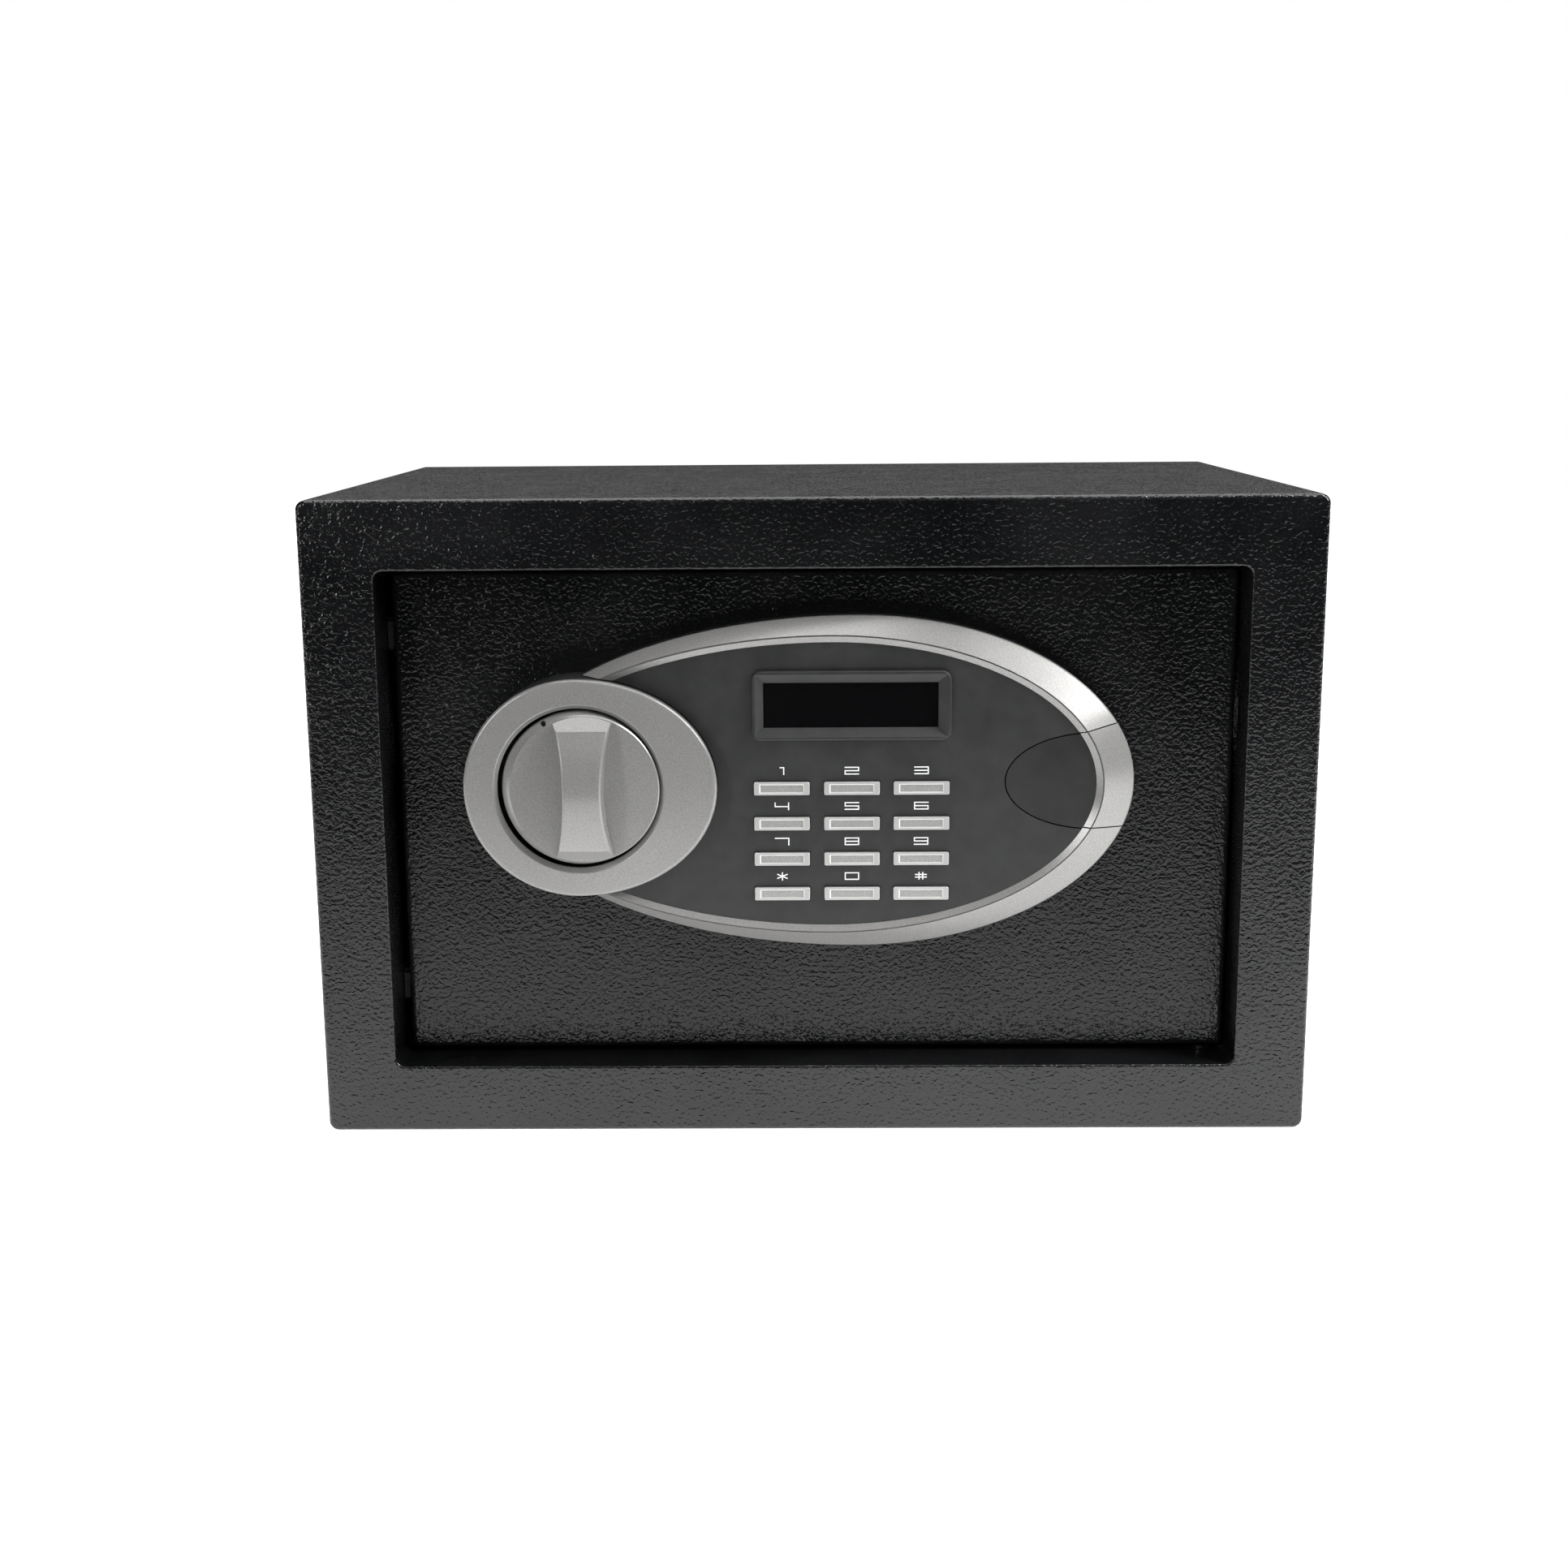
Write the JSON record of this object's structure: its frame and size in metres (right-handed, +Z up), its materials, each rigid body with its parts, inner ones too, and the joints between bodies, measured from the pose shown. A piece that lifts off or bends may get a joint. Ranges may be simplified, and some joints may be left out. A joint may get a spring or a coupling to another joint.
{
  "type": "in-room safe",
  "caption": "Small box-shaped hotel room safe with a recessed hinged door, egg-shaped keypad panel with display, turning knob, two locking bolts and a pull-off cap over an emergency key lock.",
  "frame": {"origin": "centre of the base face, midway between the sides and between the front face and the back face", "axes": "+X to the right as seen from in front (hinge side), +Y from the front to the back, +Z up"},
  "size_m": [0.31, 0.214, 0.2],
  "materials": {
    "black_coat": "coarse pebble powder coat, black, semi-gloss",
    "floor_carpet": "cut-pile carpet, charcoal",
    "black_rubber": "matt",
    "dark_plastic": "fine-grained, charcoal",
    "silver_finish": "satin metallic silver lacquer",
    "display_glass": "polished, black tinted",
    "display_body": "moulded",
    "board_green": "solder mask",
    "key_metallic": "satin metallised, bright edges",
    "zinc_steel": "zinc plated",
    "spring_steel": "drawn wire",
    "bright_steel": "turned and plated",
    "bronze": "sintered",
    "lock_chrome": "nickel plated",
    "lead_sheath": "PVC",
    "cell_jacket": "plain printed jacket",
    "red_button": "moulded"
  },
  "bodies": {
    "cabinet": {"body_wrapper": "black_coat", "front_frame": "black_coat", "back_panel": "black_coat", "floor_mat": "floor_carpet", "hinge_brackets": "black_coat", "door_stops": "black_coat", "stop_pads": "black_rubber"},
    "door": {"door_plate": "black_coat", "hinge_pivots": "black_coat", "panel_housing": "dark_plastic", "trim_ring": "silver_finish", "keypad_fascia": "dark_plastic", "display_window": "display_glass", "display_module": "display_body", "circuit_board": "board_green", "keypad_membrane": "black_rubber", "board_screws": "zinc_steel", "knob_plate": "silver_finish", "knob_bush": "bronze", "panel_screws": "zinc_steel", "cable_grommet": "black_rubber", "battery_lead": "lead_sheath", "solenoid_lead": "lead_sheath", "bolt_guide": "zinc_steel", "guide_posts": "zinc_steel", "solenoid_body": "zinc_steel", "plunger_spring": "spring_steel", "lock_housing": "lock_chrome", "lock_nut": "lock_chrome", "battery_box": "dark_plastic", "batteries": "cell_jacket", "mechanism_cover": "black_coat", "cover_screws": "zinc_steel", "reset_switch": "dark_plastic"},
    "knob_turning": {"knob": "silver_finish", "knob_shaft": "zinc_steel", "knob_crank": "zinc_steel", "crank_screw": "zinc_steel"},
    "bolt_work": {"bolt_carriage": "zinc_steel", "locking_bolts": "bright_steel"},
    "end_cap": {"end_cap_trim": "silver_finish", "end_cap_cover": "dark_plastic"},
    "lock_core": {"lock_plug": "lock_chrome", "lock_cam": "zinc_steel"},
    "plunger": {"solenoid_plunger": "zinc_steel"},
    "reset": {"reset_button": "red_button"},
    "battery_door": {"battery_cover": "dark_plastic"},
    "key_1_body": {"key_1": "key_metallic"},
    "key_2_body": {"key_2": "key_metallic"},
    "key_3_body": {"key_3": "key_metallic"},
    "key_4_body": {"key_4": "key_metallic"},
    "key_5_body": {"key_5": "key_metallic"},
    "key_6_body": {"key_6": "key_metallic"},
    "key_7_body": {"key_7": "key_metallic"},
    "key_8_body": {"key_8": "key_metallic"},
    "key_9_body": {"key_9": "key_metallic"},
    "key_star_body": {"key_star": "key_metallic"},
    "key_0_body": {"key_0": "key_metallic"},
    "key_hash_body": {"key_hash": "key_metallic"}
  },
  "joints": [
    {"name": "door_hinge", "type": "hinge", "parent": "cabinet", "child": "door", "pos_m": [0.125, -0.084, 0.1], "axis": [0, 0, 1], "range_deg": [0, 100]},
    {"name": "knob_turn", "type": "hinge", "parent": "door", "child": "knob_turning", "pos_m": [-0.0712, -0.1, 0.1123], "axis": [0, -1, 0], "range_deg": [0, 90]},
    {"name": "bolts_slide", "type": "slide", "parent": "door", "child": "bolt_work", "axis": [-1, 0, 0], "range_m": [0, 0.015]},
    {"name": "end_cap_pull", "type": "slide", "parent": "door", "child": "end_cap", "axis": [0, -1, 0], "range_m": [0, 0.02]},
    {"name": "lock_turn", "type": "hinge", "parent": "door", "child": "lock_core", "pos_m": [0.074, -0.08, 0.1128], "axis": [0, -1, 0], "range_deg": [0, 90]},
    {"name": "plunger_slide", "type": "slide", "parent": "door", "child": "plunger", "axis": [0, 0, 1], "range_m": [0, 0.005], "deforming": ["plunger_spring"]},
    {"name": "reset_press", "type": "slide", "parent": "door", "child": "reset", "axis": [0, -1, 0], "range_m": [0, 0.0015], "stiffness_N_per_m": 400, "springref_m": -0.001},
    {"name": "battery_cover_pull", "type": "slide", "parent": "door", "child": "battery_door", "axis": [0, 1, 0], "range_m": [0, 0.012]},
    {"name": "key_1_press", "type": "slide", "parent": "door", "child": "key_1_body", "axis": [0, 1, 0], "range_m": [0, 0.0008], "stiffness_N_per_m": 600, "springref_m": -0.001},
    {"name": "key_2_press", "type": "slide", "parent": "door", "child": "key_2_body", "axis": [0, 1, 0], "range_m": [0, 0.0008], "stiffness_N_per_m": 600, "springref_m": -0.001},
    {"name": "key_3_press", "type": "slide", "parent": "door", "child": "key_3_body", "axis": [0, 1, 0], "range_m": [0, 0.0008], "stiffness_N_per_m": 600, "springref_m": -0.001},
    {"name": "key_4_press", "type": "slide", "parent": "door", "child": "key_4_body", "axis": [0, 1, 0], "range_m": [0, 0.0008], "stiffness_N_per_m": 600, "springref_m": -0.001},
    {"name": "key_5_press", "type": "slide", "parent": "door", "child": "key_5_body", "axis": [0, 1, 0], "range_m": [0, 0.0008], "stiffness_N_per_m": 600, "springref_m": -0.001},
    {"name": "key_6_press", "type": "slide", "parent": "door", "child": "key_6_body", "axis": [0, 1, 0], "range_m": [0, 0.0008], "stiffness_N_per_m": 600, "springref_m": -0.001},
    {"name": "key_7_press", "type": "slide", "parent": "door", "child": "key_7_body", "axis": [0, 1, 0], "range_m": [0, 0.0008], "stiffness_N_per_m": 600, "springref_m": -0.001},
    {"name": "key_8_press", "type": "slide", "parent": "door", "child": "key_8_body", "axis": [0, 1, 0], "range_m": [0, 0.0008], "stiffness_N_per_m": 600, "springref_m": -0.001},
    {"name": "key_9_press", "type": "slide", "parent": "door", "child": "key_9_body", "axis": [0, 1, 0], "range_m": [0, 0.0008], "stiffness_N_per_m": 600, "springref_m": -0.001},
    {"name": "key_star_press", "type": "slide", "parent": "door", "child": "key_star_body", "axis": [0, 1, 0], "range_m": [0, 0.0008], "stiffness_N_per_m": 600, "springref_m": -0.001},
    {"name": "key_0_press", "type": "slide", "parent": "door", "child": "key_0_body", "axis": [0, 1, 0], "range_m": [0, 0.0008], "stiffness_N_per_m": 600, "springref_m": -0.001},
    {"name": "key_hash_press", "type": "slide", "parent": "door", "child": "key_hash_body", "axis": [0, 1, 0], "range_m": [0, 0.0008], "stiffness_N_per_m": 600, "springref_m": -0.001}
  ],
  "couplings": [
    {"joint": "bolts_slide", "follows": "knob_turn", "m_per_rad": 0.009549}
  ]
}
